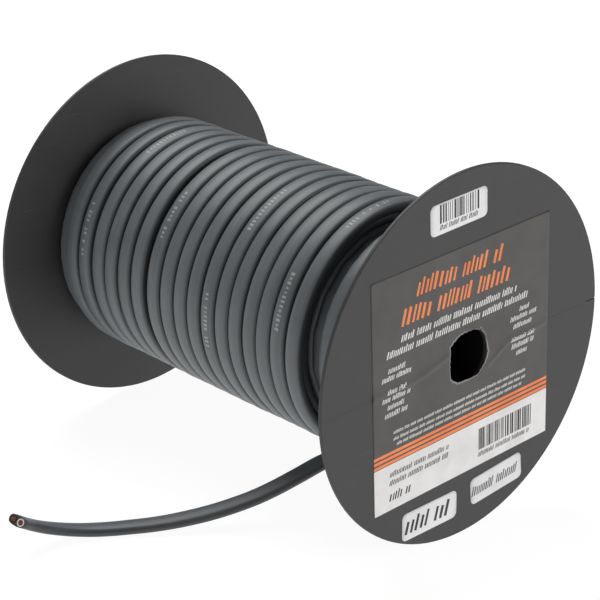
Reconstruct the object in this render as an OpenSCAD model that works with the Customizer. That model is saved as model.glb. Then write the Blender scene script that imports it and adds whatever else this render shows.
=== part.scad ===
// Spool of flat two-conductor wire, lying on the rims of its two flanges.
// The spool's axis runs along X, the labelled flange is at +X, and z = 0 is the
// surface that both rims stand on.

/* [Spool] */
// Diameter of both flanges
flange_d = 165; // [140:1:200]
// Thickness of each flange
flange_t = 1.8; // [1.4:0.1:3]
// Chamfer around both edges of each rim
rim_chamfer = 0.3; // [0.1:0.1:0.6]
// Overall width over both flanges
spool_w = 210.8; // [200:0.1:230]
// Outside diameter of the hollow barrel
barrel_d = 63.5; // [56:0.5:70]
// Wall thickness of the barrel
barrel_wall = 2; // [1.4:0.1:3]
// Diameter of the hole for a dispensing rod
arbor_d = 25.4; // [16:0.1:30]

/* [Parting line] */
// Tilt of the plane where the two half shells meet
parting_tilt = 2.2; // [0:0.1:6]
// Gap between the half shells at that plane
parting_gap = 0.05; // [0.05:0.05:0.4]
// Length of the slit left at the rim of the labelled flange
slit_len = 5.6; // [2:0.1:8]
// Depth that the slit is cut into the lower half shell
slit_depth = 0.4; // [0.2:0.1:0.6]
// Across-corners size of the nick at the end of that slit
nick_w = 1.4; // [0.6:0.1:2]

/* [Locating pegs] */
// Diameter of the pegs that line up the half shells
peg_d = 3.2; // [2:0.1:4]
// Length of a peg beyond its boss
peg_len = 4; // [2:0.5:6]
// Depth of each peg's root inside the upper half shell
peg_root = 2; // [1:0.5:3]
// Clearance between a peg and its socket, each side
peg_fit = 0.1; // [0.05:0.05:0.3]
// Diameter of the boss around a peg or a socket
boss_d = 7.2; // [6:0.2:9]
// Height of a boss from the parting plane
boss_h = 7; // [6.8:0.2:9]
// Distance between pegs along the barrel
peg_spacing = 70; // [40:5:90]

/* [Wire] */
// Width of the jacketed pair
wire_w = 8.5; // [8.2:0.1:8.8]
// Thickness of the jacketed pair
wire_t = 4.7; // [4.4:0.1:5]
// Distance between the centres of the two conductors
conductor_pitch = 4; // [3.8:0.1:4]
// Outside diameter of one insulated conductor
insulation_d = 3.5; // [3.2:0.1:3.6]
// Diameter of the space that the strands fill
bundle_d = 2.4; // [2.4:0.1:2.6]
// Diameter of one copper strand
strand_d = 0.46; // [0.4:0.02:0.46]
// Length of the straight piece at the cut end
cut_len = 9; // [6:1:12]
// Lean of the cut end from upright
cut_angle = 55; // [45:1:65]
// Turn of the cut end towards the labelled flange
cut_turn = 18; // [0:1:30]

/* [Winding] */
// Rise of the wire from one layer to the next
layer_pitch = 4.8; // [4.7:0.05:5]
// Number of layers that run from flange to flange
full_layers = 4; // [1:1:4]
// Where the outermost layer starts, from the spool's middle
outer_start = -95; // [-100:0.5:-60]
// Where the outermost layer stops, from the spool's middle
outer_end = 63; // [30:0.5:80]
// Clearance between the winding and each flange
winding_gap = 0.1; // [0:0.05:0.5]

/* [Labels] */
// Thickness of the printed labels
label_t = 0.15; // [0.1:0.05:0.3]
// Width of the main label
label_w = 105; // [90:0.5:108]
// Height of the main label
label_h = 104; // [90:0.5:108]
// Turn of the main label, away from level
label_turn = 2.3; // [0:0.1:5]
// Clearance between the label's opening and the rod's hole
label_clear = 0.2; // [0.1:0.1:2]
// Corner radius of the small stickers
sticker_r = 2.5; // [1:0.5:4]

/* [Hidden] */
$fn = 96;

flange_r = flange_d / 2;
barrel_r = barrel_d / 2;
barrel_inner_r = barrel_r - barrel_wall;
arbor_r = arbor_d / 2;
far_face = -(spool_w + label_t) / 2;      // outer face of the plain flange
near_face = far_face + spool_w;           // outer face of the labelled flange
far_inner = far_face + flange_t;
near_inner = near_face - flange_t;
full_layers_r = barrel_r + full_layers * layer_pitch;
outer_layer_r = full_layers_r + layer_pitch;
boss_y = barrel_inner_r - boss_d / 2 + 0.6;
big = 2 * spool_w;                        // larger than the whole spool
skin = 0.01;                              // overlap that keeps joined solids as one

// The free length of wire, from where it leaves the winding to the cut end
route = [
    [72, 33, 40.5], [70, 26, 35.2], [67, 18, 30.2], [63.5, 9.5, 25.9], [59.5, 1, 24.3],
    [55.8, -8.5, 24.6], [52.6, -18.5, 24.5], [49.6, -28.5, 22.7], [46.5, -38.5, 19.2],
    [43, -48.5, 15.5], [39, -58, 12.2], [34, -67, 9.3], [29, -75, 7], [24, -82, 5.2],
    [19, -89, 3.8], [14, -96, 2.9], [9, -103, 2.45], [4.2, -110.5, 2.4],
    [-0.4, -118, 2.9], [-4, -125.2, 4.3], [-6.6, -131.8, 6.3], [-7.9, -138, 9],
    [-8, -143.8, 12.4]
];
last = len(route) - 1;

// Centre of the main label on the flange, across and up
label_centre = [-1.7, -1.9];

// Places of the small stickers: centre across, centre up, turn, width, height
barcode_place = [-7, 66, 2.8, 33, 13.3];
stock_place = [-19.5, -67.1, 0.8, 32.7, 12.9];
date_place = [21.6, -64, 5.6, 32, 12.6];

function unit(v) = v / norm(v);

// Direction of the wire at point i of the route
function heading(i) =
    i == last ? [sin(cut_angle) * sin(cut_turn), -sin(cut_angle) * cos(cut_turn), cos(cut_angle)]
              : unit(route[min(i + 1, last)] - route[max(i - 1, 0)]);

// The wire's wide direction at point i, kept as near to X as the route allows
function across(i) = unit([1, 0, 0] - ([1, 0, 0] * heading(i)) * heading(i));

// Outline of the flat wire: two round ends, five points each
outline = [
    for (end = [0, 1], a = [-90:45:90])
        let (turn = a + 180 * end, side = 1 - 2 * end)
        [side * (wire_w - wire_t) / 2 + wire_t / 2 * cos(turn), wire_t / 2 * sin(turn)]
];
sides = len(outline);

// One ring of the swept tube
function ring(i) =
    let (w = across(i), n = cross(heading(i), w))
    [for (p = outline) route[i] + p[0] * w + p[1] * n];

module flat_tube() {
    points = [for (i = [0:last]) each ring(i)];
    walls = [
        for (i = [0:last - 1], k = [0:sides - 1])
            let (a = i * sides + k, b = i * sides + (k + 1) % sides)
            [a, a + sides, b + sides, b]
    ];
    first_cap = [for (k = [0:sides - 1]) k];
    last_cap = [for (k = [sides - 1:-1:0]) last * sides + k];
    polyhedron(points, concat([first_cap, last_cap], walls), convexity = 6);
}

// Places children on the spool's axis, with their Z along X
module along_axis() {
    translate([0, 0, flange_r]) rotate([0, 90, 0]) children();
}

// Places children in the frame of the parting plane, with Z square to the plane
module at_parting() {
    translate([0, 0, flange_r]) rotate([parting_tilt, 0, 0]) children();
}

// Places a flat outline on the labelled flange, seen from outside
module on_label_face() {
    translate([near_face, 0, flange_r]) rotate([90, 0, 90]) linear_extrude(label_t) children();
}

// Places children at the cut end, with Z along the wire and X across it
module at_cut_end() {
    roll = -atan(tan(cut_turn) * cos(cut_angle));
    translate(route[last]) rotate([cut_angle, 0, cut_turn]) rotate(roll) children();
}

// The whole hollow spool as one ring: both flanges, both end walls, the barrel
module spool_body() {
    c = rim_chamfer;
    along_axis() rotate_extrude() polygon([
        [arbor_r, far_face], [flange_r - c, far_face], [flange_r, far_face + c],
        [flange_r, far_inner - c], [flange_r - c, far_inner], [barrel_r, far_inner],
        [barrel_r, near_inner], [flange_r - c, near_inner], [flange_r, near_inner + c],
        [flange_r, near_face - c], [flange_r - c, near_face], [arbor_r, near_face],
        [arbor_r, near_inner], [barrel_inner_r, near_inner],
        [barrel_inner_r, far_inner], [arbor_r, far_inner]
    ]);
}

// Everything on one side of the parting plane, side = 1 above and -1 below
module beside_parting(side) {
    at_parting() translate([0, 0, side * (big + parting_gap) / 2])
        cube([big, big, big], center = true);
}

// Repeats children at each peg, in the frame of the parting plane
module at_pegs() {
    at_parting() for (x = [-1, 0, 1], side = [-1, 1])
        translate([x * peg_spacing, side * boss_y, 0]) children();
}

// Bosses inside the barrel, joined to its wall, on one side of the parting plane
module bosses(side) {
    intersection() {
        at_pegs() translate([0, 0, side > 0 ? 0 : -boss_h]) cylinder(d = boss_d, h = boss_h);
        along_axis() cylinder(r = barrel_r - barrel_wall / 2, h = spool_w, center = true);
        beside_parting(side);
    }
}

// The slit and the nick where the half shells' rims meet at the labelled flange
module rim_slit(depth) {
    at_parting() translate([near_face - flange_t / 2, 0, 0]) {
        translate([0, flange_r - slit_len / 2, 0])
            cube([2 * flange_t, slit_len, depth], center = true);
        translate([0, flange_r, 0]) rotate([45, 0, 0])
            cube([2 * flange_t, nick_w / sqrt(2), nick_w / sqrt(2)], center = true);
    }
}

module half_shell(side) {
    intersection() {
        spool_body();
        beside_parting(side);
    }
    bosses(side);
}

module upper_half_shell() {
    color("#3a3a3b") {
        difference() {
            half_shell(1);
            rim_slit(parting_gap);
        }
        at_pegs() translate([0, 0, -peg_len]) cylinder(d = peg_d, h = peg_len + peg_root);
    }
}

module lower_half_shell() {
    socket_depth = peg_len + 2 * peg_fit;
    color("#3f3f40") difference() {
        half_shell(-1);
        rim_slit(2 * slit_depth);
        at_pegs() translate([0, 0, -socket_depth])
            cylinder(d = peg_d + 2 * peg_fit, h = socket_depth + skin);
    }
}

module main_label() {
    color("#5f5c59") on_label_face() difference() {
        translate(label_centre) rotate(label_turn) square([label_w, label_h], center = true);
        circle(r = arbor_r + label_clear);
    }
}

module rounded_rectangle(w, h, r) {
    square([w - 2 * r, h], center = true);
    square([w, h - 2 * r], center = true);
    for (x = [-1, 1], y = [-1, 1])
        translate([x * (w / 2 - r), y * (h / 2 - r)]) circle(r = r, $fn = 32);
}

module sticker(place) {
    color("#ebebeb") on_label_face() translate([place[0], place[1]]) rotate(place[2])
        rounded_rectangle(place[3], place[4], sticker_r);
}

module barcode_sticker() {
    sticker(barcode_place);
}

module stock_sticker() {
    sticker(stock_place);
}

module date_sticker() {
    sticker(date_place);
}

// Outer shape of all the turns: four full layers and a shorter outermost one
module winding_shape() {
    x0 = far_inner + winding_gap;
    x1 = near_inner - winding_gap;
    along_axis() rotate_extrude() polygon([
        [barrel_r, x0], [full_layers_r, x0], [full_layers_r, outer_start],
        [outer_layer_r, outer_start], [outer_layer_r, outer_end],
        [full_layers_r, outer_end], [full_layers_r, x1], [barrel_r, x1]
    ]);
}

module wound_wire() {
    color("#64686a") winding_shape();
}

module loose_end() {
    color("#55585a") difference() {
        flat_tube();
        winding_shape();
    }
}

module wire_outline() {
    square([wire_w - wire_t, wire_t], center = true);
    for (side = [-1, 1])
        translate([side * (wire_w - wire_t) / 2, 0]) circle(d = wire_t, $fn = 48);
}

module cut_end_jacket() {
    color("#55585a") at_cut_end() linear_extrude(cut_len) difference() {
        wire_outline();
        for (side = [-1, 1])
            translate([side * conductor_pitch / 2, 0]) circle(d = insulation_d, $fn = 48);
    }
}

module insulation(side) {
    at_cut_end() translate([side * conductor_pitch / 2, 0, 0]) linear_extrude(cut_len)
        difference() {
            circle(d = insulation_d, $fn = 48);
            circle(d = bundle_d, $fn = 48);
        }
}

module black_insulation() {
    color("#1c1c1d") insulation(-1);
}

module white_insulation() {
    color("#f0e6df") insulation(1);
}

// One conductor's bundle: a middle strand, six around it and twelve around those
module strands(side) {
    at_cut_end() translate([side * conductor_pitch / 2, 0, 0]) linear_extrude(cut_len)
        for (layer = [0:2], k = [0:max(0, 6 * layer - 1)])
            rotate(k * 60 / max(1, layer)) translate([layer * (strand_d + skin), 0])
                circle(d = strand_d, $fn = 16);
}

module black_core_strands() {
    color("#9c5a42") strands(-1);
}

module white_core_strands() {
    color("#9c5a42") strands(1);
}

upper_half_shell();
lower_half_shell();
main_label();
barcode_sticker();
stock_sticker();
date_sticker();
wound_wire();
loose_end();
cut_end_jacket();
black_insulation();
white_insulation();
black_core_strands();
white_core_strands();
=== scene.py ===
import math
import random

import bmesh
import bpy
from mathutils import Matrix, Vector


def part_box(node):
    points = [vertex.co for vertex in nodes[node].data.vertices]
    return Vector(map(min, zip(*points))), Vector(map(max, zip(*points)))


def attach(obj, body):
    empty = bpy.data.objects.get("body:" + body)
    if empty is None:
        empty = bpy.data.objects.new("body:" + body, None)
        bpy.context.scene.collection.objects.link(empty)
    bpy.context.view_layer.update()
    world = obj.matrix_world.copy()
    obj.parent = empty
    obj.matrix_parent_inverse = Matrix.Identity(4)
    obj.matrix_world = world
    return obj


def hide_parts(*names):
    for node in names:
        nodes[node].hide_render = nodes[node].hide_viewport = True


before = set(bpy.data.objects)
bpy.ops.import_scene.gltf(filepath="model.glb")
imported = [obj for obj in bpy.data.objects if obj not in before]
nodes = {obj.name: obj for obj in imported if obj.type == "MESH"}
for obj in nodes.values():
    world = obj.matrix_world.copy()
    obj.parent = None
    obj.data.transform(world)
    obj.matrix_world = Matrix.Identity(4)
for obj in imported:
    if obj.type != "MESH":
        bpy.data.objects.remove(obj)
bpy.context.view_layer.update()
scene = bpy.context.scene
mm = 0.001

# places that the other pieces hang on, read from the frame
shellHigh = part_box("upper_half_shell")[1]
woundLow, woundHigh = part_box("wound_wire")
axisHeight = shellHigh.z / 2
labelledFace = shellHigh.x
windingRadius = woundHigh.z - axisHeight
print("frame loaded,", len(nodes), "nodes")


# small helpers

def toLinear(hexColour):
    channels = [int(hexColour[i:i + 2], 16) / 255 for i in (1, 3, 5)]
    linear = [c / 12.92 if c <= 0.04045 else ((c + 0.055) / 1.055) ** 2.4 for c in channels]
    return (*linear, 1.0)


def addNode(tree, kind, inputs=None, into=None, **settings):
    # into is the socket that the node's first output feeds
    node = tree.nodes.new("ShaderNode" + kind)
    for name, value in settings.items():
        setattr(node, name, value)
    for socket, value in (inputs or {}).items():
        if isinstance(value, bpy.types.NodeSocket):
            tree.links.new(value, node.inputs[socket])
        else:
            node.inputs[socket].default_value = value
    if into is not None:
        tree.links.new(node.outputs[0], into)
    return node


def smooth(t):
    t = min(1.0, max(0.0, t))
    return t * t * (3 - 2 * t)


def mix(a, b, t):
    return a + (b - a) * t


def newMaterial(name, roughness, metallic=0.0, ior=None, coat=0.0):
    material = bpy.data.materials.new(name)
    material.use_nodes = True
    tree = material.node_tree
    shader = tree.nodes["Principled BSDF"]
    shader.inputs["Roughness"].default_value = roughness
    shader.inputs["Metallic"].default_value = metallic
    shader.inputs["Coat Weight"].default_value = coat
    if ior:
        shader.inputs["IOR"].default_value = ior
    return material, tree, shader


def twoTone(tree, shader, pattern, dark, light, low=0.35, high=0.65):
    # spreads one pattern between two close tones of the same stuff
    span = addNode(tree, "MapRange", {"Value": pattern, "From Min": low, "From Max": high})
    tone = addNode(tree, "Mix", {"Factor": span.outputs["Result"]}, data_type="RGBA")
    tone.inputs["A"].default_value = toLinear(dark)
    tone.inputs["B"].default_value = toLinear(light)
    tree.links.new(tone.outputs["Result"], shader.inputs["Base Color"])
    return tone.outputs["Result"]


def paint(obj, material):
    obj.data.materials.clear()
    obj.data.materials.append(material)


def meshPiece(name, points, faces, material, smoothFaces=True):
    mesh = bpy.data.meshes.new(name)
    mesh.from_pydata([tuple(p) for p in points], [], faces)
    mesh.validate()
    obj = bpy.data.objects.new(name, mesh)
    scene.collection.objects.link(obj)
    mesh.polygons.foreach_set("use_smooth", [smoothFaces] * len(mesh.polygons))
    mesh.materials.append(material)
    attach(obj, "root")
    return obj


# camera

cameraSettings = {
    "azimuth": 47.07,        # degrees round from the front, towards the labelled flange
    "elevation": 23.01,
    "distance": 943.2,       # mm from the point aimed at
    "aimAlong": 4.2,         # mm from the middle of the spool, along its axis
    "aimAcross": 0.5,
    "aimBelowAxis": 6.0,
    "lens": 126.83,
}


def makeCamera(s):
    azimuth = math.radians(s["azimuth"])
    elevation = math.radians(s["elevation"])
    back = Vector((math.sin(azimuth) * math.cos(elevation),
                   -math.cos(azimuth) * math.cos(elevation),
                   math.sin(elevation)))
    aim = Vector((s["aimAlong"] * mm, s["aimAcross"] * mm, axisHeight - s["aimBelowAxis"] * mm))
    data = bpy.data.cameras.new("camera")
    data.lens = s["lens"]
    data.sensor_width = 36
    camera = bpy.data.objects.new("camera", data)
    camera.location = aim + back * s["distance"] * mm
    camera.rotation_euler = (-back).to_track_quat("-Z", "Y").to_euler()
    scene.collection.objects.link(camera)
    scene.camera = camera


makeCamera(cameraSettings)
print("camera placed")


# the wire: one flat jacketed pair, wound in five layers, with its end lying loose

wireSettings = {
    "width": 8.5,
    "thickness": 4.7,
    "corner": 2.0,           # radius of the jacket's four long edges
    "cornerSteps": 4,
    "crown": 0.24,           # how far the middle of each flat stands above its edges
    "crownHalf": 1.3,        # half the width of that level middle
    "skinGap": 0.1,          # left between the outer turns and the CAD winding's surface
    "layerRise": 4.8,
    "fullLayers": 4,
    "turnsPerLayer": 24,
    "visibleStart": -48,     # degrees, where a turn starts: below the front
    "ringsPerTurn": [18, 18, 18, 40, 80],
    "gapAt": 64.5,           # where the last full layer misses a turn
    "climb": 2.3,            # how far the last full layer's last turn has risen already
    "climbShift": 1.3,
    "lean": 1.0,             # mm that an outer turn drifts back over a whole turn
    "leanPivot": 0.3,        # share of a turn at which it is on its listed place
    "outerTurns": [-90.5, -81, -71, -62, -52.5, -43, -31.5, -22.5, -13.5, -4.5, 5, 14, 22.5,
                   31.5, 40, 49, 58.5],
    "axialWander": 0.16,
    "radialWander": 0.3,
    "twistWander": 2.2,      # degrees that a turn rolls about its own length
    "nominalLength": 30.48,  # metres, 100 feet
    "cutLength": 9,
    "cutAngle": 55,          # degrees that the cut end leans from upright
    "cutTurn": 18,           # degrees that it turns towards the labelled flange
    "tailStep": 2.2,
    "boreRadius": 1.76,
    "conductorPitch": 4.0,
}

# the free length, from where it leaves the winding to the start of the cut end, in mm
tailRoute = [
    (72, 33, 40.5), (70, 26, 35.2), (67, 18, 30.2), (63.5, 9.5, 25.9), (59.5, 1, 24.3),
    (55.8, -8.5, 24.6), (52.6, -18.5, 24.5), (49.6, -28.5, 22.7), (46.5, -38.5, 19.2),
    (43, -48.5, 15.5), (39, -58, 12.2), (34, -67, 9.3), (29, -75, 7), (24, -82, 5.2),
    (19, -89, 3.8), (14, -96, 2.9), (9, -103, 2.45), (4.2, -110.5, 2.4),
    (-0.4, -118, 2.9), (-4, -125.2, 4.3), (-6.6, -131.8, 6.3), (-7.9, -138, 9),
    (-8, -143.8, 12.4),
]


def onWinding(x, radius, turn):
    # turn is in whole turns from the front, going up over the top and down the back
    angle = 2 * math.pi * turn
    return Vector((x, -radius * math.cos(angle), axisHeight / mm + radius * math.sin(angle)))


def layerRadius(layer, s):
    outermost = windingRadius / mm - s["thickness"] / 2 - s["skinGap"]
    return outermost - (s["fullLayers"] - layer) * s["layerRise"]


def windingTurns(s):
    # one entry per turn: its place, its layer, and its own small errors
    chance = random.Random(12)
    left = woundLow.x / mm + s["width"] / 2
    right = woundHigh.x / mm - s["width"] / 2
    turns = []
    for layer in range(s["fullLayers"]):
        places = [mix(left, right, i / (s["turnsPerLayer"] - 1)) for i in range(s["turnsPerLayer"])]
        if layer % 2:
            places.reverse()
        if layer == s["fullLayers"] - 1:
            places = [x for x in places if abs(x - s["gapAt"]) > s["width"] / 2]
        turns += [{"x": x, "layer": layer} for x in places]
    turns += [{"x": x, "layer": s["fullLayers"]} for x in s["outerTurns"]]
    for turn in turns:
        outer = turn["layer"] == s["fullLayers"]
        turn["wander"] = chance.uniform(-1, 1) * s["axialWander"] * outer
        turn["phase"] = chance.uniform(0, 2 * math.pi)
        turn["lift"] = chance.uniform(0, 1) * s["radialWander"] * outer
        turn["twist"] = math.radians(chance.uniform(-1, 1) * s["twistWander"] * outer)
        turn["lean"] = s["lean"] * outer
    climbing = [turn for turn in turns if turn["layer"] < s["fullLayers"]][-1]
    climbing["lift"] = s["climb"]
    climbing["x"] += s["climbShift"]
    return turns


def windingRings(s):
    turns = windingTurns(s)
    start = s["visibleStart"] / 360
    first = Vector(tailRoute[0])
    leaves = (math.atan2(first.z - axisHeight / mm, -first.y) / (2 * math.pi) - start) % 1
    rings = []
    for number, turn in enumerate(turns):
        last = number == len(turns) - 1
        count = s["ringsPerTurn"][turn["layer"]]
        radius = layerRadius(turn["layer"], s) + turn["lift"]
        if last:
            nextX, nextRadius, nextTwist = first.x, math.hypot(first.y, first.z - axisHeight / mm), 0
            reach = leaves
        else:
            following = turns[number + 1]
            nextX = following["x"] + following["lean"] * s["leanPivot"]
            nextRadius = layerRadius(following["layer"], s) + following["lift"]
            nextTwist = following["twist"]
            reach = 1.0
        climbs = not last and turns[number + 1]["layer"] != turn["layer"]
        overTop = climbs and turns[number + 1]["layer"] == s["fullLayers"]
        # a turn keeps its place over its front half and crosses to the next over its back half
        for i in range(count):
            u = i / count
            if u >= reach:
                break
            back = max(0.0, (u - 0.5) / (reach - 0.5))  # share of the way round the back
            along = max(0.0, (back - 0.3) / 0.7) if overTop else back
            x = turn["x"] + turn["lean"] * (s["leanPivot"] - min(u, 0.5))
            x += turn["wander"] * math.sin(4 * math.pi * min(u, 0.5) + turn["phase"])
            x = mix(x, nextX, smooth(along))
            rise = smooth(back / 0.4) if climbs else smooth(back)
            rings.append((onWinding(x, mix(radius, nextRadius, rise), start + u),
                          mix(turn["twist"], nextTwist, smooth(back))))
    return rings


def curveThrough(points, step):
    # a smooth curve through given points, with rings about one step apart
    ends = [2 * points[0] - points[1]] + points + [2 * points[-1] - points[-2]]
    line = []
    for i in range(1, len(ends) - 2):
        a, b, c, d = ends[i - 1:i + 3]
        pieces = max(1, round((c - b).length / step))
        for k in range(pieces):
            t = k / pieces
            line.append(0.5 * ((2 * b) + (c - a) * t + (2 * a - 5 * b + 4 * c - d) * t ** 2
                               + (3 * b - a - 3 * c + d) * t ** 3))
    return line + [points[-1]]


def wireRings(s):
    rings = windingRings(s)
    rings += [(p, 0.0) for p in curveThrough([Vector(p) for p in tailRoute], s["tailStep"])]
    lean = math.radians(s["cutAngle"])
    turn = math.radians(s["cutTurn"])
    out = Vector((math.sin(lean) * math.sin(turn), -math.sin(lean) * math.cos(turn), math.cos(lean)))
    for share in (0.35, 0.7, 1.0):
        rings.append((Vector(tailRoute[-1]) + out * s["cutLength"] * share, 0.0))
    return rings


def ringFrames(rings):
    frames = []
    for i, (place, twist) in enumerate(rings):
        before = rings[max(0, i - 1)][0]
        after = rings[min(len(rings) - 1, i + 1)][0]
        heading = (after - before).normalized()
        across = (Vector((1, 0, 0)) - heading * heading.x).normalized()
        across = Matrix.Rotation(twist, 3, heading) @ across
        frames.append((place, heading, across, across.cross(heading)))
    return frames


def jacketOutline(s):
    # round-cornered, with a point either side of the middle of each flat
    halfWide = s["width"] / 2
    halfThick = s["thickness"] / 2 - s["crown"]
    outline = []
    for cornerNumber in range(4):
        sideX = 1 if cornerNumber in (0, 3) else -1
        sideY = 1 if cornerNumber < 2 else -1
        for step in range(s["cornerSteps"] + 1):
            angle = math.radians(90 * (cornerNumber + step / s["cornerSteps"]))
            outline.append((sideX * (halfWide - s["corner"]) + s["corner"] * math.cos(angle),
                            sideY * (halfThick - s["corner"]) + s["corner"] * math.sin(angle)))
        if cornerNumber in (0, 2):
            for place in (s["crownHalf"], -s["crownHalf"]):
                outline.append((sideY * place, sideY * (halfThick + s["crown"])))
    return outline


def addCutFace(obj, endRing, lastFrame, s):
    # closes the cut end, leaving a bore round each conductor
    place, heading, across, outward = lastFrame
    mesh = bmesh.new()
    mesh.from_mesh(obj.data)
    mesh.verts.ensure_lookup_table()
    rim = [mesh.verts[i] for i in endRing]
    edges = [mesh.edges.get((rim[i], rim[(i + 1) % len(rim)])) for i in range(len(rim))]
    segments = 28
    for side in (-1, 1):
        centre = place + across * side * s["conductorPitch"] / 2
        loops = []
        for depth in (0, s["cutLength"]):
            loop = []
            for k in range(segments):
                angle = 2 * math.pi * k / segments
                spot = centre - heading * depth
                spot = spot + (across * math.cos(angle) + outward * math.sin(angle)) * s["boreRadius"]
                loop.append(mesh.verts.new(spot * mm))
            loops.append(loop)
        mouth, bottom = loops
        for k in range(segments):
            n = (k + 1) % segments
            mesh.faces.new((mouth[k], mouth[n], bottom[n], bottom[k])).smooth = True
            edges.append(mesh.edges.get((mouth[k], mouth[n])))
        mesh.faces.new(bottom)
    bmesh.ops.triangle_fill(mesh, edges=edges, use_beauty=True)
    bmesh.ops.recalc_face_normals(mesh, faces=mesh.faces)
    mesh.to_mesh(obj.data)
    mesh.free()


def jacketMaterial():
    # grey PVC, extruded: an even satin skin with faint lines drawn along its length,
    # and a bloom of lighter rubbing where turns have slid over each other; the rounded sides carry
    # painted shade
    material, tree, shader = newMaterial("extrudedGreyPvc", roughness=0.4, ior=1.53)
    along = addNode(tree, "Attribute", attribute_name="along")
    around = addNode(tree, "Attribute", attribute_name="around")
    # die lines are about 0.1 mm apart; drawn at 0.6 mm so that they show
    lines = addNode(tree, "CombineXYZ", {"X": along.outputs["Fac"], "Y": around.outputs["Fac"]})
    stretched = addNode(tree, "Mapping", {"Vector": lines.outputs["Vector"],
                                          "Scale": (14.0, 1600.0, 1.0)})
    streaks = addNode(tree, "TexNoise", {"Vector": stretched.outputs["Vector"],
                                         "Scale": 1.0, "Detail": 3.0})
    place = addNode(tree, "TexCoord")
    # rubbed patches are about 17 mm across
    rubbing = addNode(tree, "TexNoise", {"Vector": place.outputs["Object"], "Scale": 60.0,
                                         "Detail": 5.0, "Roughness": 0.6})
    both = addNode(tree, "Math", {0: streaks.outputs["Fac"], 1: rubbing.outputs["Fac"]},
                   operation="ADD")
    half = addNode(tree, "Math", {0: both.outputs["Value"], 1: 0.5}, operation="MULTIPLY")
    tone = twoTone(tree, shader, half.outputs["Value"], "#5a5e61", "#6b7073")
    # painted shade: the rounded sides are painted dark from 2.9 mm off the middle, standing in for the
    # shade between neighbouring turns
    size = addNode(tree, "Math", {0: around.outputs["Fac"]}, operation="ABSOLUTE")
    shifted = addNode(tree, "Math", {0: size.outputs["Value"], 1: 2 * wireSettings["width"] * mm},
                      operation="SUBTRACT")
    fromMiddle = addNode(tree, "Math", {0: shifted.outputs["Value"]}, operation="ABSOLUTE")
    paintedSideShade = addNode(tree, "MapRange", {"Value": fromMiddle.outputs["Value"],
                                          "From Min": 2.9 * mm, "From Max": 4.1 * mm,
                                          "To Max": 0.8})
    sided = addNode(tree, "Mix", {"Factor": paintedSideShade.outputs["Result"], "A": tone},
                    data_type="RGBA")
    sided.inputs["B"].default_value = toLinear("#232527")
    tree.links.new(sided.outputs["Result"], shader.inputs["Base Color"])
    addNode(tree, "MapRange", {"Value": rubbing.outputs["Fac"], "To Min": 0.4, "To Max": 0.55},
            into=shader.inputs["Roughness"])
    addNode(tree, "Bump", {"Height": streaks.outputs["Fac"], "Distance": 0.05 * mm,
                           "Strength": 0.35}, into=shader.inputs["Normal"])
    return material


def makeWire(s):
    rings = wireRings(s)
    frames = ringFrames(rings)
    outline = jacketOutline(s)
    sides = len(outline)
    points = []
    alongValues = []
    aroundValues = []
    travelled = 0.0
    for i, (place, heading, across, outward) in enumerate(frames):
        if i:
            travelled += (place - frames[i - 1][0]).length
        for wide, thick in outline:
            points.append((place + across * wide + outward * thick) * mm)
            alongValues.append(travelled * mm)
            aroundValues.append((wide + math.copysign(2 * s["width"], thick)) * mm)
    faces = []
    for i in range(len(frames) - 1):
        for k in range(sides):
            a = i * sides + k
            b = i * sides + (k + 1) % sides
            faces.append((a, b, b + sides, a + sides))
    faces.append(tuple(range(sides - 1, -1, -1)))
    wire = meshPiece("wire_jacket", points, faces, jacketMaterial())
    for name, values in (("along", alongValues), ("around", aroundValues)):
        wire.data.attributes.new(name, "FLOAT", "POINT").data.foreach_set("value", values)
    endRing = range((len(frames) - 1) * sides, len(frames) * sides)
    addCutFace(wire, endRing, frames[-1], s)
    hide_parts("wound_wire", "loose_end", "cut_end_jacket")
    path = [place * mm for place, heading, across, outward in frames]
    print("wire: %d rings, %.2f m" % (len(frames), travelled * mm))
    return wire, path, frames


wire, wirePath, wireFrames = makeWire(wireSettings)


# print along the jacket: rows of plain marks, no lettering

legendSettings = {
    "length": 25,
    "height": 2.1,
    "raise": 0.02,
    "sink": 0.05,            # how far a mark goes into the jacket
    "marks": 13,
    "skipped": 0.15,         # share of the marks left out
    "markWidths": (0.7, 1.2),
    "markHeights": [1.0, 1.0, 0.7],
    # place along the axis in mm, and degrees up from the front
    "places": [(-81, 18), (-71, 80), (-31.5, 44), (5, 0), (14, 62), (49, 23), (58.5, 80)],
}


def legendMaterial():
    # inkjet print on PVC: a thin, worn, pale grey deposit, with wear in 0.7 mm spots
    material, tree, shader = newMaterial("inkjetPrint", roughness=0.6, ior=1.5)
    place = addNode(tree, "TexCoord")
    wear = addNode(tree, "TexNoise", {"Vector": place.outputs["Object"], "Scale": 1500.0})
    twoTone(tree, shader, wear.outputs["Fac"], "#8a8d8f", "#b0b3b4")
    return material


def thinBox(points, faces, corners, height, sink):
    # a closed sliver on a surface: corners are (place, outward) pairs, in mm
    base = len(points)
    for place, outward in corners:
        points.append((place + outward * height) * mm)
    for place, outward in corners:
        points.append((place - outward * sink) * mm)
    count = len(corners)
    faces.append(tuple(base + i for i in range(count)))
    faces.append(tuple(base + count + i for i in range(count - 1, -1, -1)))
    for i in range(count):
        n = (i + 1) % count
        faces.append((base + i, base + count + i, base + count + n, base + n))


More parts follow.
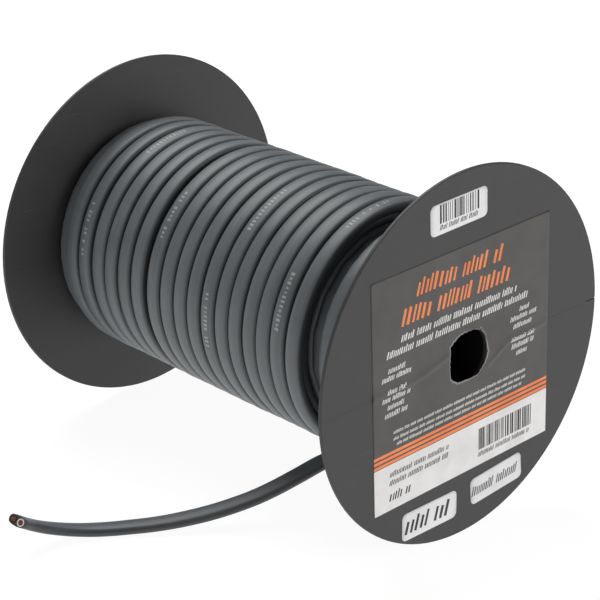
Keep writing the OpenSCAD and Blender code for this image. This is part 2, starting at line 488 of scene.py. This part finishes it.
def makeLegend(s, wireS):
    chance = random.Random(5)
    points = []
    faces = []
    top = wireS["thickness"] / 2
    outerRadius = layerRadius(wireS["fullLayers"], wireS)
    # the first ring of the outer layer, which lies within 0.3 mm of its radius
    outerStart = next(i for i, f in enumerate(wireFrames)
                      if math.hypot(f[0].y, f[0].z - axisHeight / mm) > outerRadius - 0.3)
    for placeX, degrees in s["places"]:
        target = onWinding(placeX, outerRadius, degrees / 360)
        nearest = min(range(outerStart, len(wireFrames)),
                      key=lambda i: (wireFrames[i][0] - target).length)
        for mark in range(s["marks"]):
            offset = (mark / s["marks"] - 0.5) * s["length"]
            if chance.random() < s["skipped"]:
                continue
            wide = chance.uniform(*s["markWidths"])
            tall = s["height"] * chance.choice(s["markHeights"])
            corners = []
            for da, db in ((0, -tall / 2), (0, tall / 2), (wide, tall / 2), (wide, -tall / 2)):
                corners.append(onJacket(nearest, offset + da, db, top))
            thinBox(points, faces, corners, s["raise"], s["sink"])
    return meshPiece("jacket_print", points, faces, legendMaterial(), False)


def onJacket(index, travel, aside, top):
    # walks along the wire from a ring, and returns a place on its outer flat
    step = 1 if travel >= 0 else -1
    left = abs(travel)
    i = index
    while True:
        j = min(len(wireFrames) - 1, max(0, i + step))
        gap = (wireFrames[j][0] - wireFrames[i][0]).length
        if left <= gap or j == i:
            break
        left -= gap
        i = j
    t = left / gap if gap else 0
    place = wireFrames[i][0].lerp(wireFrames[j][0], t)
    across = wireFrames[i][2].lerp(wireFrames[j][2], t).normalized()
    outward = wireFrames[i][3].lerp(wireFrames[j][3], t).normalized()
    return place + across * aside + outward * top, outward


legend = makeLegend(legendSettings, wireSettings)


# the conductors at the cut end

def pvcMaterial(name, dark, light):
    # conductor insulation, extruded PVC, seen where a blade has cut it: matte, torn about every 0.6 mm
    material, tree, shader = newMaterial(name, roughness=0.45, ior=1.53)
    place = addNode(tree, "TexCoord")
    tear = addNode(tree, "TexNoise", {"Vector": place.outputs["Object"], "Scale": 1800.0,
                                      "Detail": 4.0})
    twoTone(tree, shader, tear.outputs["Fac"], dark, light)
    addNode(tree, "Bump", {"Height": tear.outputs["Fac"], "Distance": 0.06 * mm,
                           "Strength": 0.5}, into=shader.inputs["Normal"])
    return material


def copperMaterial():
    # bare drawn copper, sheared: warm, bright, smeared at the cut in 0.4 mm patches
    material, tree, shader = newMaterial("shearedCopper", roughness=0.3, metallic=1.0)
    place = addNode(tree, "TexCoord")
    smear = addNode(tree, "TexNoise", {"Vector": place.outputs["Object"], "Scale": 2500.0})
    twoTone(tree, shader, smear.outputs["Fac"], "#6e4138", "#b5806f")
    addNode(tree, "MapRange", {"Value": smear.outputs["Fac"], "To Min": 0.25, "To Max": 0.45},
            into=shader.inputs["Roughness"])
    return material


copper = copperMaterial()
paint(nodes["black_insulation"], pvcMaterial("extrudedBlackPvc", "#131314", "#242426"))
paint(nodes["white_insulation"], pvcMaterial("extrudedWhitePvc", "#e6d6cd", "#f8ece4"))
paint(nodes["black_core_strands"], copper)
paint(nodes["white_core_strands"], copper)
print("conductors finished")


# the moulded spool

def shellMaterial():
    # black polystyrene, injection moulded in a spark-eroded tool: fine even grain, matte,
    # with a few pale scuffs from handling
    material, tree, shader = newMaterial("mouldedPolystyrene", roughness=0.55, ior=1.59)
    place = addNode(tree, "TexCoord")
    # tool grain is about 0.08 mm; drawn at about 0.5 mm so that it shows
    grain = addNode(tree, "TexNoise", {"Vector": place.outputs["Object"], "Scale": 2000.0,
                                       "Detail": 2.0})
    # marks of handling are about 22 mm across
    handling = addNode(tree, "TexNoise", {"Vector": place.outputs["Object"], "Scale": 45.0,
                                          "Detail": 6.0, "Roughness": 0.65})
    tone = twoTone(tree, shader, handling.outputs["Fac"], "#2a2a2b", "#333334")
    # scratches are 25 mm long and 0.05 mm wide; drawn 1 mm wide so that they show
    long = addNode(tree, "Mapping", {"Vector": place.outputs["Object"],
                                     "Rotation": (0.7, 0.3, 0.2), "Scale": (40.0, 40.0, 900.0)})
    scratch = addNode(tree, "TexNoise", {"Vector": long.outputs["Vector"], "Scale": 1.0,
                                         "Detail": 1.0})
    thin = addNode(tree, "MapRange", {"Value": scratch.outputs["Fac"], "From Min": 0.7,
                                      "From Max": 0.8, "To Max": 0.22})
    scuffed = addNode(tree, "Mix", {"Factor": thin.outputs["Result"], "A": tone},
                      data_type="RGBA")
    scuffed.inputs["B"].default_value = toLinear("#5a5a5b")
    tree.links.new(scuffed.outputs["Result"], shader.inputs["Base Color"])
    addNode(tree, "MapRange", {"Value": handling.outputs["Fac"], "To Min": 0.48, "To Max": 0.66},
            into=shader.inputs["Roughness"])
    addNode(tree, "Bump", {"Height": grain.outputs["Fac"], "Distance": 0.04 * mm,
                           "Strength": 0.4}, into=shader.inputs["Normal"])
    return material


shellPlastic = shellMaterial()
for name in ("upper_half_shell", "lower_half_shell"):
    paint(nodes[name], shellPlastic)
print("shells finished")


# labels on the flange: paper sheets, then print laid on them

labelSettings = {
    "centre": (-1.7, -1.9),
    "size": (105, 104),
    "turn": 2.3,
    "paper": 0.15,
    "around": 360,
    "outward": 56,
    # torn opening, mm from the spool's axis
    "tear": [(-9.6, 7.5), (-4, 11.2), (3.1, 11.5), (8.8, 10), (11, 6.9), (13.4, -1.2),
             (11.9, -5.6), (7.5, -10), (2.5, -10.6), (-5, -10), (-9, -7.5), (-9.75, 0)],
    "creases": [[(-54, -1.9), (-30, -1.2), (-20, 1.2), (-11, 3.8)],
                [(13.8, -7.5), (21, -3.1), (27.5, 0), (40, 0), (49.4, 1.9)]],
    "creaseHeight": 0.42,
    "creaseWidth": 1.3,
    "ripple": 0.02,
    "raggedness": 0.25,
    # width of the torn edge: its mean, its slow wave, and how much raggedness adds
    "fringe": (0.4, 0.25, 1.1),
    "fringeLift": 0.03,
    "fringeSteps": 3,
}

stickerSettings = {
    "cornerRadius": 2.5,
    "pointsPerCorner": 8,
    "outward": 6,
    "places": {
        # centre across and up, turn, width, height
        "barcode_sticker": (-7, 66, 2.8, 33, 13.3),
        "stock_sticker": (-19.5, -67.1, 0.8, 32.7, 12.9),
        "date_sticker": (21.6, -64, 5.6, 32, 12.6),
    },
}


def turned(across, up, degrees, centre=(0, 0)):
    angle = math.radians(degrees)
    return (centre[0] + across * math.cos(angle) - up * math.sin(angle),
            centre[1] + across * math.sin(angle) + up * math.cos(angle))


def onFlange(across, up, height):
    return Vector((labelledFace + height * mm, across * mm, axisHeight + up * mm))


def distanceTo(line, across, up):
    best = 1e9
    for (ax, ay), (bx, by) in zip(line, line[1:]):
        dx, dy = bx - ax, by - ay
        t = min(1, max(0, ((across - ax) * dx + (up - ay) * dy) / (dx * dx + dy * dy)))
        best = min(best, math.hypot(across - ax - t * dx, up - ay - t * dy))
    return best


def labelHeight(across, up):
    # the paper's upper surface above the flange, in mm
    s = labelSettings
    height = s["paper"] + s["ripple"] * math.sin(across * 0.11) * math.cos(up * 0.09)
    for crease in s["creases"]:
        height += s["creaseHeight"] * math.exp(-(distanceTo(crease, across, up) / s["creaseWidth"]) ** 2)
    return height


def fringeHeight(across, up):
    return labelHeight(across, up) + labelSettings["fringeLift"]


def stickerHeight(across, up):
    return labelSettings["paper"]


def rayToOutline(angle, outline):
    # how far a closed outline is from the origin in one direction
    dx, dy = math.cos(angle), math.sin(angle)
    best = 0.0
    for (ax, ay), (bx, by) in zip(outline, outline[1:] + outline[:1]):
        ex, ey = bx - ax, by - ay
        cross = dx * ey - dy * ex
        if abs(cross) < 1e-9:
            continue
        reach = (ax * ey - ay * ex) / cross
        share = (ax * dy - ay * dx) / cross
        if reach > 0 and -1e-6 <= share <= 1 + 1e-6:
            best = max(best, reach)
    return best


def rectangle(centre, size, turn):
    corners = [(-1, -1), (1, -1), (1, 1), (-1, 1)]
    return [turned(a * size[0] / 2, b * size[1] / 2, turn, centre) for a, b in corners]


def sheetBetween(inner, outer, heightAt, steps, hole=True):
    # a closed thin sheet between two outlines with as many points each, its middle open or filled
    points = []
    faces = []
    count = len(outer)
    for level in (1, 0):
        for k in range(steps + 1):
            for (ax, ay), (bx, by) in zip(inner, outer):
                across, up = mix(ax, bx, k / steps), mix(ay, by, k / steps)
                points.append(onFlange(across, up, heightAt(across, up) if level else 0.01))
    offset = count * (steps + 1)
    for k in range(steps):
        for i in range(count):
            n = (i + 1) % count
            a, b, c, d = k * count + i, k * count + n, (k + 1) * count + n, (k + 1) * count + i
            faces.append((a, d, c, b))
            faces.append((offset + a, offset + b, offset + c, offset + d))
    walls = [(0, False), (steps, True)] if hole else [(steps, True)]
    for k, flip in walls:
        for i in range(count):
            n = (i + 1) % count
            a, b = k * count + i, k * count + n
            face = (a, b, offset + b, offset + a)
            faces.append(face[::-1] if flip else face)
    if not hole:
        faces.append(tuple(range(count)))
        faces.append(tuple(range(offset + count - 1, offset - 1, -1)))
    return points, faces


def paperMaterial(name, dark, light, roughness):
    # coated label stock, flexo printed: satin, with a soft mottle where ink sits on fibre
    material, tree, shader = newMaterial(name, roughness=roughness, ior=1.5)
    place = addNode(tree, "TexCoord")
    # fibres are 0.02 mm wide; drawn at about 0.7 mm so that they show
    fibre = addNode(tree, "TexNoise", {"Vector": place.outputs["Object"], "Scale": 1400.0,
                                       "Detail": 3.0})
    # the mottle is about 11 mm across
    cloud = addNode(tree, "TexNoise", {"Vector": place.outputs["Object"], "Scale": 90.0,
                                       "Detail": 4.0})
    twoTone(tree, shader, cloud.outputs["Fac"], dark, light)
    addNode(tree, "Bump", {"Height": fibre.outputs["Fac"], "Distance": 0.02 * mm,
                           "Strength": 0.3}, into=shader.inputs["Normal"])
    return material


labelPaper = paperMaterial("printedGreyLabelStock", "#454240", "#4d4a47", 0.45)
stickerPaper = paperMaterial("whiteStickerStock", "#dedede", "#e9e9e9", 0.55)
tornPaper = paperMaterial("tornPaperCore", "#777573", "#a3a19e", 0.8)
orangeInk = paperMaterial("orangeFlexoInk", "#e8793a", "#f28a4c", 0.45)
whiteInk = paperMaterial("whiteFlexoInk", "#dcdad8", "#e8e6e4", 0.5)
blackInk = paperMaterial("blackThermalPrint", "#1b1b1c", "#2b2b2c", 0.55)


def makeLabel(s):
    chance = random.Random(31)
    corners = rectangle(s["centre"], s["size"], s["turn"])
    angles = [2 * math.pi * i / s["around"] for i in range(s["around"])]
    for x, y in corners:  # so that the corners stay sharp
        target = math.atan2(y, x) % (2 * math.pi)
        near = min(range(len(angles)), key=lambda i: abs(angles[i] - target))
        angles[near] = target
    rough = [chance.uniform(-s["raggedness"], s["raggedness"]) for angle in angles]
    rough = [(rough[i - 2] + rough[i - 1] + rough[i]) / 1.6 for i in range(len(rough))]
    mean, wave, ragging = s["fringe"]
    inner = []
    outer = []
    fringe = []
    for angle, ragged in zip(angles, rough):
        direction = (math.cos(angle), math.sin(angle))
        torn = rayToOutline(angle, s["tear"]) + ragged
        edge = rayToOutline(angle, corners)
        feather = mean + wave * math.sin(3 * angle + 1) + ragging * abs(ragged)
        inner.append((direction[0] * torn, direction[1] * torn))
        outer.append((direction[0] * edge, direction[1] * edge))
        fringe.append((direction[0] * (torn + feather), direction[1] * (torn + feather)))
    points, faces = sheetBetween(inner, outer, labelHeight, s["outward"])
    label = meshPiece("printed_label", points, faces, labelPaper)
    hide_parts("main_label")
    # the bare core of the paper, showing where it was torn
    points, faces = sheetBetween(inner, fringe, fringeHeight, s["fringeSteps"])
    meshPiece("torn_paper_edge", points, faces, tornPaper)


def roundedOutline(place, radius, perCorner):
    across, up, turn, wide, high = place
    outline = []
    for corner, (sx, sy) in enumerate(((1, 1), (-1, 1), (-1, -1), (1, -1))):
        for k in range(perCorner + 1):
            angle = math.radians(90 * corner + 90 * k / perCorner)
            outline.append(turned(sx * (wide / 2 - radius) + radius * math.cos(angle),
                                  sy * (high / 2 - radius) + radius * math.sin(angle),
                                  turn, (across, up)))
    return outline


def makeStickers(s):
    for node, place in s["places"].items():
        outer = roundedOutline(place, s["cornerRadius"], s["pointsPerCorner"])
        inner = [(mix(place[0], x, 0.02), mix(place[1], y, 0.02)) for x, y in outer]
        points, faces = sheetBetween(inner, outer, stickerHeight, s["outward"], hole=False)
        sticker = meshPiece(node.replace("_sticker", "_paper"), points, faces, stickerPaper)
        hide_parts(node)


makeLabel(labelSettings)
makeStickers(stickerSettings)
print("label and stickers cut")


# print: plain marks in place of words, so that nothing can be read

def printPatch(store, across, up, wide, high, turn, heightAt, cell=2.0):
    # a thin closed patch that follows the paper; across and up are its middle
    points, faces, lift = store
    columns = max(1, math.ceil(wide / cell))
    rows = max(1, math.ceil(high / cell))
    base = len(points)
    for level in (1, 0):
        for j in range(rows + 1):
            for i in range(columns + 1):
                a, b = turned((i / columns - 0.5) * wide, (j / rows - 0.5) * high, turn, (across, up))
                height = heightAt(a, b)
                points.append(onFlange(a, b, height + (lift if level else -0.05)))
    layer = (rows + 1) * (columns + 1)

    def at(i, j, low):
        return base + low * layer + j * (columns + 1) + i

    for j in range(rows):
        for i in range(columns):
            faces.append((at(i, j, 0), at(i + 1, j, 0), at(i + 1, j + 1, 0), at(i, j + 1, 0)))
            faces.append((at(i, j, 1), at(i, j + 1, 1), at(i + 1, j + 1, 1), at(i + 1, j, 1)))
    edge = [(i, 0) for i in range(columns)] + [(columns, j) for j in range(rows)]
    edge += [(i, rows) for i in range(columns, 0, -1)] + [(0, j) for j in range(rows, 0, -1)]
    for (i, j), (k, m) in zip(edge, edge[1:] + edge[:1]):
        faces.append((at(i, j, 0), at(i, j, 1), at(k, m, 1), at(k, m, 0)))


markSettings = {
    "slant": 16,             # degrees
    "cell": 1.2,             # mm, so that a mark follows the paper's creases
    "barCell": 4.0,
    "spacing": 2.1,          # from one stroke to the next, in strokes' widths
    "quietEnd": 0.4,         # mm with no bar in it
}


def newStore(lift):
    return [], [], lift


def markLine(store, chance, across, up, wide, cap, turn, heightAt, stroke=0.17):
    # groups of separate slanted strokes, which never touch and so never make a letter
    position = -wide / 2
    while position < wide / 2 - cap * 0.4:
        for mark in range(chance.randint(5, 13)):
            if position > wide / 2 - cap * 0.3:
                break
            thick = cap * stroke * chance.uniform(0.8, 1.25)
            tall = cap * chance.choice([1.0, 0.78, 0.78, 0.88])
            a, b = turned(position + thick / 2, (tall - cap) / 2, turn, (across, up))
            printPatch(store, a, b, thick, tall, turn - markSettings["slant"], heightAt,
                       markSettings["cell"])
            position += thick * markSettings["spacing"]
        position += cap * 0.4


def barRow(store, chance, across, up, wide, high, turn, heightAt):
    # upright bars of uneven width and spacing, which code for nothing
    position = -wide / 2
    while position < wide / 2 - markSettings["quietEnd"]:
        thick = min(chance.choice([0.33, 0.33, 0.66, 0.99]), wide / 2 - position)
        a, b = turned(position + thick / 2, 0, turn, (across, up))
        printPatch(store, a, b, thick, high, turn, heightAt, markSettings["barCell"])
        position += thick + chance.choice([0.33, 0.33, 0.66, 0.9])


def labelPlace(across, up):
    # from the label's own middle to the flange
    return turned(across, up, labelSettings["turn"], labelSettings["centre"])


printSettings = {
    # middle across and up, length and height of the marks, all in mm from the axis
    "orangeLines": [(-4.5, 40.6, 51, 7.5), (-4.5, 30.1, 67, 7.5)],
    "whiteLines": [(-4, 21.5, 69, 3.3), (-3.7, 16.5, 85.5, 3.3),
                   (-40.6, 8.1, 10, 2.4), (-40.6, 4.8, 17, 2.4), (-40.6, -1.2, 11, 2.4),
                   (-40.6, -4.4, 16, 2.4), (-40.6, -8, 10, 2.4), (-40.6, -11.5, 13, 2.4),
                   (35.4, 12.5, 6, 2.4), (35.4, 9, 17, 2.4), (35.4, 5.2, 13, 2.4),
                   (35.4, -0.6, 15, 2.4), (35.4, -4, 14, 2.4), (35.4, -7.5, 8, 2.4),
                   (-2, -18.8, 80, 1.5), (-2, -21.8, 80, 1.5), (-2, -24.5, 76, 1.5)],
    "blackLines": [(-26.2, -38.5, 35, 2.6), (-26.2, -42.4, 35, 2.6), (-36.8, -49.2, 13.5, 4.2),
                   (26, -47.7, 33, 2.4)],
    "bars": (26, -40.6, 33, 10),
    "stripes": 3,
    "stripeHeight": 1.35,
    "stripeGap": 0.75,
    "stripesTop": -25.0,     # from the label's own middle
    "bandTop": -30.9,
    "colourLift": 0.03,
    "blackLift": 0.06,       # black is printed over the white band
}


def makePrint(s):
    chance = random.Random(77)
    turn = labelSettings["turn"]
    wide, high = labelSettings["size"]
    orange = newStore(s["colourLift"])
    white = newStore(s["colourLift"])
    black = newStore(s["blackLift"])
    for index in range(s["stripes"]):
        up = s["stripesTop"] - s["stripeHeight"] / 2 - index * (s["stripeHeight"] + s["stripeGap"])
        printPatch(orange, *labelPlace(0, up), wide, s["stripeHeight"], turn, labelHeight)
    bandHeight = s["bandTop"] + high / 2
    printPatch(white, *labelPlace(0, s["bandTop"] - bandHeight / 2), wide, bandHeight, turn, labelHeight)
    for line in s["orangeLines"]:
        markLine(orange, chance, *line, turn, labelHeight)
    for line in s["whiteLines"]:
        markLine(white, chance, *line, turn, labelHeight)
    for line in s["blackLines"]:
        markLine(black, chance, *line, turn, labelHeight)
    barRow(black, chance, *s["bars"], turn, labelHeight)
    for name, store, ink in (("orange_print", orange, orangeInk), ("white_print", white, whiteInk),
                             ("black_print", black, blackInk)):
        meshPiece(name, store[0], store[1], ink, False)


stickerPrintSettings = {
    # middle across and up, length, height, turn
    "bars": (-6.6, 68, 23.3, 8, 2.8),
    # the same, then a stroke's width as a share of the height
    "lines": [(-6.8, 62.3, 22, 2.3, 2.8, 0.17), (-20.2, -67, 27, 7.5, 0.8, 0.2),
              (21.6, -64, 30, 4.9, 5.6, 0.12)],
    "lift": 0.03,
}


def makeStickerPrint(s):
    chance = random.Random(9)
    black = newStore(s["lift"])
    barRow(black, chance, *s["bars"], stickerHeight)
    for *line, stroke in s["lines"]:
        markLine(black, chance, *line, stickerHeight, stroke)
    meshPiece("sticker_print", black[0], black[1], blackInk, False)


makePrint(printSettings)
makeStickerPrint(stickerPrintSettings)
print("print laid")


# floor, world and lights

stageSettings = {
    "floorSize": 12,         # metres
    "floorDrop": 0.0002,     # metres below the spool, so that the two don't share a face
    "floorGlow": 0.93,
    "floorColour": "#646464",
    "worldStrength": 0.08,
    # place in metres, size in metres, power in watts
    "topLight": ((-0.6, 0.15, 1.3), 1.1, 17),
    "faceLight": ((1.5, 0.6, 0.75), 0.9, 13),
    "leftLight": ((-0.7, -1.3, 0.9), 1.1, 2),
    "frontLight": ((0.9, -1.3, 0.5), 0.4, 1.4),
}


def makeStage(s):
    half = s["floorSize"] / 2
    mesh = bpy.data.meshes.new("floor")
    mesh.from_pydata([(-half, -half, 0), (half, -half, 0), (half, half, 0), (-half, half, 0)], [],
                     [(0, 1, 2, 3)])
    floor = bpy.data.objects.new("floor", mesh)
    scene.collection.objects.link(floor)
    floor.location.z = -s["floorDrop"]
    # white studio sweep, painted matte: a soft even glow with only a faint shadow
    material, tree, shader = newMaterial("paintedSweep", roughness=0.9)
    shader.inputs["Base Color"].default_value = toLinear(s["floorColour"])
    shader.inputs["Emission Color"].default_value = (1, 1, 1, 1)
    shader.inputs["Emission Strength"].default_value = s["floorGlow"]
    mesh.materials.append(material)
    world = bpy.data.worlds.new("studio")
    world.use_nodes = True
    tree = world.node_tree
    background = tree.nodes["Background"]
    ray = addNode(tree, "LightPath")
    strength = addNode(tree, "MapRange", {"Value": ray.outputs["Is Camera Ray"],
                                          "To Min": s["worldStrength"], "To Max": 1.0})
    tree.links.new(strength.outputs["Result"], background.inputs["Strength"])
    background.inputs["Color"].default_value = (1, 1, 1, 1)
    scene.world = world
    for name in ("topLight", "leftLight", "faceLight", "frontLight"):
        place, size, power = s[name]
        light = bpy.data.lights.new(name, "AREA")
        light.size = size
        light.energy = power
        lamp = bpy.data.objects.new(name, light)
        lamp.location = place
        toAxis = Vector((0, 0, axisHeight)) - Vector(place)
        lamp.rotation_euler = toAxis.to_track_quat("-Z", "Y").to_euler()
        scene.collection.objects.link(lamp)
    scene.view_settings.view_transform = "Standard"


makeStage(stageSettings)
print("stage lit")
